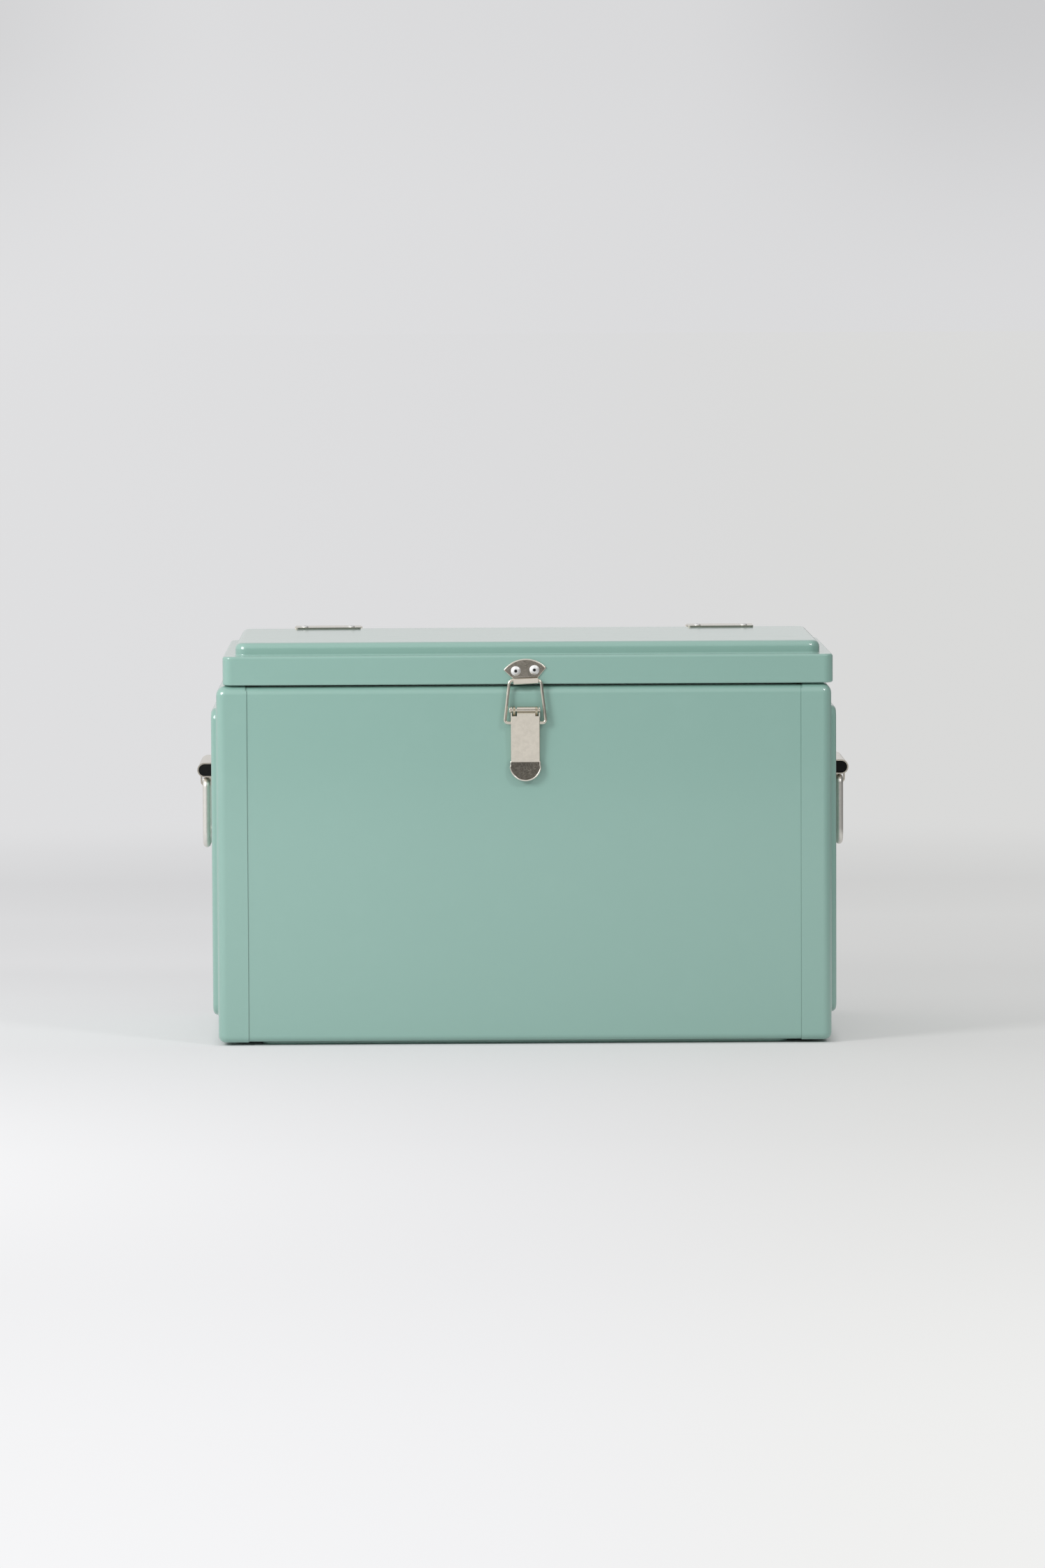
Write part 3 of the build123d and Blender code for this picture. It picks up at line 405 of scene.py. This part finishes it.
def islands(node):
    """Low and high corner of every separate solid in a CAD node."""
    mesh = bmesh.new()
    mesh.from_mesh(NODES[node].data)
    bmesh.ops.remove_doubles(mesh, verts=mesh.verts, dist=WELD)
    left, found = set(mesh.verts), []
    while left:
        stack, reached = [left.pop()], []
        while stack:
            vert = stack.pop()
            reached.append(vert.co)
            for edge in vert.link_edges:
                other = edge.other_vert(vert)
                if other in left:
                    left.remove(other)
                    stack.append(other)
        found.append([Vector(pick(p[axis] for p in reached) for axis in range(3)) for pick in (min, max)])
    mesh.free()
    return found


def outward(mesh):
    """Turns a closed mesh's faces outwards and keeps its hard edges."""
    work = bmesh.new()
    work.from_mesh(mesh)
    bmesh.ops.recalc_face_normals(work, faces=work.faces)
    work.to_mesh(mesh)
    work.free()
    mesh.shade_smooth()
    mesh.set_sharp_from_angle(angle=SHARP_EDGE)


def grow(name, seed_mesh, tree, sizes):
    """Runs a Geometry Nodes tree on a seed mesh and keeps the result as a plain mesh."""
    obj = bpy.data.objects.new(name, seed_mesh)
    bpy.context.scene.collection.objects.link(obj)
    modifier = obj.modifiers.new("grow", "NODES")
    modifier.node_group = tree
    for item in tree.interface.items_tree:
        if item.in_out == "INPUT" and item.name in sizes:
            modifier[item.identifier] = sizes[item.name]
    graph = bpy.context.evaluated_depsgraph_get()
    grown = obj.evaluated_get(graph)
    result = bpy.data.meshes.new_from_object(grown, preserve_all_data_layers=True, depsgraph=graph)
    obj.modifiers.remove(modifier)
    obj.data = result
    outward(result)
    return obj


def rim_tree():
    """Geometry Nodes: sweeps a round bead along a path."""
    group = bpy.data.node_groups.new("rolled_rim", "GeometryNodeTree")
    t = Tree(group)
    for name, kind in (("Path", "Geometry"), ("Bead radius", "Float")):
        group.interface.new_socket(name, in_out="INPUT", socket_type="NodeSocket" + kind)
    group.interface.new_socket("Rim", in_out="OUTPUT", socket_type="NodeSocketGeometry")
    path, bead = t.source("NodeGroupInput", "Path", "Bead radius")
    line = t.add("GeometryNodeMeshToCurve", None, {"Mesh": path})
    line = t.add("GeometryNodeResampleCurve", None, {"Curve": line, "Count": RIM_POINTS})
    ring = t.add("GeometryNodeCurvePrimitiveCircle", None, {"Resolution": BEAD_STEPS, "Radius": bead})
    swept = t.add("GeometryNodeCurveToMesh", None, {"Curve": line, "Profile Curve": ring, "Fill Caps": True})
    real = t.add("GeometryNodeRealizeInstances", None, {"Geometry": swept})
    done = t.add("GeometryNodeSetMaterial", None, {"Geometry": real, "Material": RIM_FINISH})
    out = group.nodes.new("NodeGroupOutput")
    group.links.new(done.out, out.inputs[0])
    return group


def face_edge(node, facing, bottom, top):
    """Open outline of a node's flat plate that faces a direction, taken between two heights."""
    mesh = bmesh.new()
    mesh.from_mesh(NODES[node].data)
    bmesh.ops.remove_doubles(mesh, verts=mesh.verts, dist=WELD)
    plate = {face for face in mesh.faces if face.normal.dot(facing) > PLATE_MATCH}
    rim = [edge for edge in mesh.edges if len(set(edge.link_faces) & plate) == 1]
    rim = [edge for edge in rim if all(bottom < vert.co.z < top for vert in edge.verts)]
    rim = [edge for edge in rim if edge.calc_length() < CREASE_LENGTH]
    nexts = {}
    for edge in rim:
        one, other = edge.verts
        nexts.setdefault(one, []).append(other)
        nexts.setdefault(other, []).append(one)
    ends = [vert for vert in nexts if len(nexts[vert]) == 1]
    start = max(ends, key=lambda vert: abs(vert.co.x)) if ends else next(iter(nexts))
    path, here = [start], start
    while True:
        onward = [vert for vert in nexts[here] if vert not in path]
        if not onward:
            break
        here = onward[0]
        path.append(here)
    points = [vert.co.copy() for vert in path]
    mesh.free()
    return points


def rolled_rim(node, facing, bottom, top, body, tree):
    """Rolled edge of a stamped plate."""
    facing = Vector(facing).normalized()
    points = [point - facing * RIM_SINK for point in face_edge(node, facing, bottom, top)]
    seed_mesh = bpy.data.meshes.new(node + "_path")
    seed_mesh.from_pydata(points, [(k, k + 1) for k in range(len(points) - 1)], [])
    rim = grow(node + "_rolled_rim", seed_mesh, tree, {"Bead radius": RIM_BEAD})
    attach(rim, body)


def rivet_row(node, axis, sign, body, tree):
    """Blind rivets in place of a CAD node's, facing along an axis."""
    seats, radius = [], 0.0
    for low, high in islands(node):
        seat = (low + high) / 2
        seat[axis] = high[axis] - HEAD_RISE if sign > 0 else low[axis] + HEAD_RISE
        seats.append(seat)
        radius = (high - low)[(axis + 1) % 3] / 2
    seed_mesh = bpy.data.meshes.new(node + "_seats")
    seed_mesh.from_pydata(seats, [], [])
    facing = seed_mesh.attributes.new("facing", "FLOAT_VECTOR", "POINT")
    for row in facing.data:
        row.vector = [sign if k == axis else 0.0 for k in range(3)]
    sizes = {"Head radius": radius, "Head rise": HEAD_RISE}
    rivets = grow(node.replace("rivets", "blind_rivets"), seed_mesh, tree, sizes)
    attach(rivets, body)
    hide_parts(node)


RIM_BEAD = 0.72 * MM
RIM_SINK = 0.35 * MM
RIM_POINTS = 72
BEAD_STEPS = 14
CREASE_LENGTH = 20.0 * MM   # a longer edge is the crease that the plate is bent along
PLATE_MATCH = math.cos(math.radians(1.5))
# the rims' nickel is lighter than the plates': a painted highlight along the rolled edges
RIM_FINISH = nickel("nickel_rim", (0.86, 0.82, 0.74), 0.26)
TAB_LEAN = math.radians(-4.5)               # the finger tab's face against the upright
TAB_FACING = (0.0, -math.cos(TAB_LEAN), -math.sin(TAB_LEAN))
TAB_REACH = TAB_TOP + 1.0 * MM
rim = rim_tree()
rolled_rim("latch_catch", (0.0, -1.0, 0.0), FAN_FOOT, LID_TOP, "lid", rim)
rolled_rim("latch_lever", TAB_FACING, 0.0, TAB_REACH, "latch_lever", rim)
blind = rivet_tree()
rivet_row("latch_catch_rivets", 1, -1, "lid", blind)
rivet_row("latch_base_rivets", 1, -1, "body", blind)
rivet_row("hinge_lid_rivets", 2, 1, "lid", blind)
rivet_row("hinge_body_rivets", 1, 1, "body", blind)
rivet_row("handle_rivets_left", 0, -1, "body", blind)
rivet_row("handle_rivets_right", 0, 1, "body", blind)


# ---------------------------------------------------------------- floor and light
EYE = (-0.08010, -7.19999, 0.77463)
BACKDROP = (0.745, 0.745, 0.755)
AMBIENT = 0.62
PAPER_LIFT = 0.38           # share of the paper's own tone in what the eye sees of it near the chest
PAPER_LIT = (0.9, 2.6)      # over this distance from the chest the paper passes to its own tone alone
PAPER_MIDDLE = 0.1
PAPER_EDGE = (-3.8, -3.2)   # in front of this the room is dark, for gloss only
PAPER_AISLE = (0.9, 5.0)    # to the sides the paper passes to the backdrop's tone
PAPER_FRONT = (-9.0, -4.2)  # and so it does in front
RAMP_REACH = 3.0            # the paper's tones run over this length in front of and behind the chest
FLOOR_REACH = 60.0
FLOOR_DROP = 0.1 * MM
FOOT_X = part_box("end_cap_right")[1].x - 12.0 * MM
FOOT_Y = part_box("body_wrap")[1].y


def backdrop_fade(t, bearing, rise):
    """Painted fall-off of light on the pale backdrop: darker to the right and to the upper corners, by
    direction from the eye.
    """
    aside = t.between(bearing, -0.072, 0.072, 1.0, 0.945)
    high = t.between(rise, 0.004, 0.036, 0.0, 1.0)
    corner = t.between(rise, -0.01, 0.036) * t.between(abs(bearing), 0.03, 0.075)
    return aside * (1.0 - 0.025 * high - 0.12 * corner)


def studio_floor():
    """Pale paper floor: lit and shadowed near the chest, its own even tone further off."""
    f = Finish.named("studio_paper")
    camera, glossy = f.source("ShaderNodeLightPath", "Is Camera Ray", "Is Glossy Ray")
    across, along, _ = f.parts(f.place())
    off = along - PAPER_MIDDLE
    far = f.between((across * across + off * off) ** 0.5, *PAPER_LIT)
    # painted light and shade on the paper, front to back: brightest nearest the eye, darker just in front of
    # the chest as its shadow, lighter just behind it, then down to the backdrop's tone
    shades = [
        (0.0, 0.925), (0.17, 0.895), (0.35, 0.825), (0.47, 0.81),
        (0.55, 0.87), (0.70, 0.86), (0.78, 0.77), (0.86, 0.74),
    ]
    stops = [(spot, (shade, shade, shade * 1.012)) for spot, shade in shades]
    place = f.add("ShaderNodeMapRange", None, (along, -RAMP_REACH, RAMP_REACH, 0.0, 1.0))
    pale = f.add("ShaderNodeValToRGB", {"stops": stops}, (place,))
    settled = 1.0 - f.between(abs(across), *PAPER_AISLE, 1.0, 0.0) * f.between(along, *PAPER_FRONT)
    pale = f.mix(settled, pale, BACKDROP)
    aside, away = across - EYE[0], along - EYE[1]
    span = (aside * aside + away * away) ** 0.5
    fade = backdrop_fade(f, aside / span, -EYE[2] / span)
    # painted shade: the paper a touch warmer to the right, the tone of the chest's shadow there
    warmth = f.between(aside / span, 0.0, 0.07, 1.0, 0.98)
    tint = f.add("ShaderNodeCombineXYZ", None, (fade, fade, fade * warmth))
    pale = f.mix(1.0, pale, tint, "MULTIPLY")
    in_front = f.between(along, *PAPER_EDGE, 0.12, 1.0)
    at_right = f.between(across, 0.4, 1.6, 1.0, 0.25)
    behind = f.between(along, 0.2, 1.0, 1.0, 0.86)
    strength = camera + (1.0 - camera) * glossy * in_front * at_right * behind
    lit = f.add("ShaderNodeBsdfDiffuse", values=(pale,))
    flat = f.add("ShaderNodeEmission", values=(pale, strength))
    seen = camera + glossy - camera * glossy
    under = f.between(abs(across), FOOT_X, FOOT_X + 20.0 * MM, 1.0, 0.0)
    under = under * f.between(abs(along), FOOT_Y, FOOT_Y + 12.0 * MM, 1.0, 0.0)
    lift = (1.0 - under) * PAPER_LIFT
    share = (lift + (1.0 - lift) * far) * seen
    return f.finish(f.add("ShaderNodeMixShader", values=(share, lit, flat)))


def studio_world():
    """Even light for the chest, a pale backdrop to the camera and a darker front for gloss."""
    w = Finish(bpy.data.worlds.new("studio"))
    bpy.context.scene.world = w.owner
    camera, glossy = w.source("ShaderNodeLightPath", "Is Camera Ray", "Is Glossy Ray")
    across, depth, rise = w.parts(w.add("ShaderNodeTexCoord", output=0))
    span = (across * across + depth * depth) ** 0.5
    fade = backdrop_fade(w, across / span, rise / span)
    shade = w.between(across, 0.1, 0.8, 1.0, 0.45)
    low_front = w.between(depth, -0.75, -0.2, 1.0, 0.0) * w.between(rise, 0.16, 0.42, 1.0, 0.0)
    aside = w.between(across, -0.6, 0.0, 1.15, 1.0) * w.between(across, 0.12, 0.7, 1.0, 0.25)
    behind = w.between(depth, 0.2, 0.8, 1.0, 0.92)
    gloss = (0.765 - 0.65 * low_front) * aside * behind
    level = camera * fade + (1.0 - camera) * (glossy * gloss + (1.0 - glossy) * AMBIENT * shade)
    colour = w.mix(camera, (1.0, 1.0, 1.0), BACKDROP)
    back = w.add("ShaderNodeBackground", values=(colour, level))
    w.add("ShaderNodeOutputWorld", values=(back,))


def softbox(name, azimuth, elevation, distance, width, level):
    """Round soft lamp, placed as seen from the chest; level is the light that falls on the chest."""
    data = bpy.data.lights.new(name, "AREA")
    data.shape = "DISK"
    data.size = width
    data.energy = level * math.pi * distance ** 2
    obj = bpy.data.objects.new(name, data)
    bpy.context.scene.collection.objects.link(obj)
    a, e = math.radians(azimuth), math.radians(elevation)
    toward = Vector((math.sin(a) * math.cos(e), -math.cos(a) * math.cos(e), math.sin(e)))
    obj.location = toward * distance + Vector((0.0, 0.0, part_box("body_wrap")[1].z / 2))
    obj.rotation_mode = "QUATERNION"
    obj.rotation_quaternion = toward.to_track_quat("Z", "Y")


studio_world()
softbox("softbox_left", -48.0, 28.0, 2.3, 0.8, 1.34)
softbox("softbox_right", 38.0, 38.0, 3.2, 0.5, 0.47)
turns = ((-1, -1), (1, -1), (1, 1), (-1, 1))
corners = [(x * FLOOR_REACH, y * FLOOR_REACH, -FLOOR_DROP) for x, y in turns]
floor_mesh = bpy.data.meshes.new("floor")
floor_mesh.from_pydata(corners, [], [(0, 1, 2, 3)])
floor = bpy.data.objects.new("floor", floor_mesh)
bpy.context.scene.collection.objects.link(floor)
floor.data.materials.append(studio_floor())

# ---------------------------------------------------------------- camera
YAW, PITCH, ROLL = 0.63758, 4.21715, -0.26532       # degrees
yaw, pitch, roll = [math.radians(angle) for angle in (YAW, PITCH, ROLL)]
ahead = Vector((math.sin(yaw) * math.cos(pitch), math.cos(yaw) * math.cos(pitch), -math.sin(pitch)))
right = Vector((math.cos(yaw), -math.sin(yaw), 0.0))
up = right.cross(ahead)
right, up = math.cos(roll) * right + math.sin(roll) * up, math.cos(roll) * up - math.sin(roll) * right
camera = bpy.data.objects.new("camera", bpy.data.cameras.new("camera"))
bpy.context.scene.collection.objects.link(camera)
camera.data.lens, camera.data.sensor_width = 166.4, 36.0
camera.data.clip_end = 200.0
camera.matrix_world = Matrix((
    (right.x, up.x, -ahead.x, EYE[0]), (right.y, up.y, -ahead.y, EYE[1]),
    (right.z, up.z, -ahead.z, EYE[2]), (0.0, 0.0, 0.0, 1.0),
))
bpy.context.scene.camera = camera
bpy.context.scene.view_settings.view_transform = "Standard"
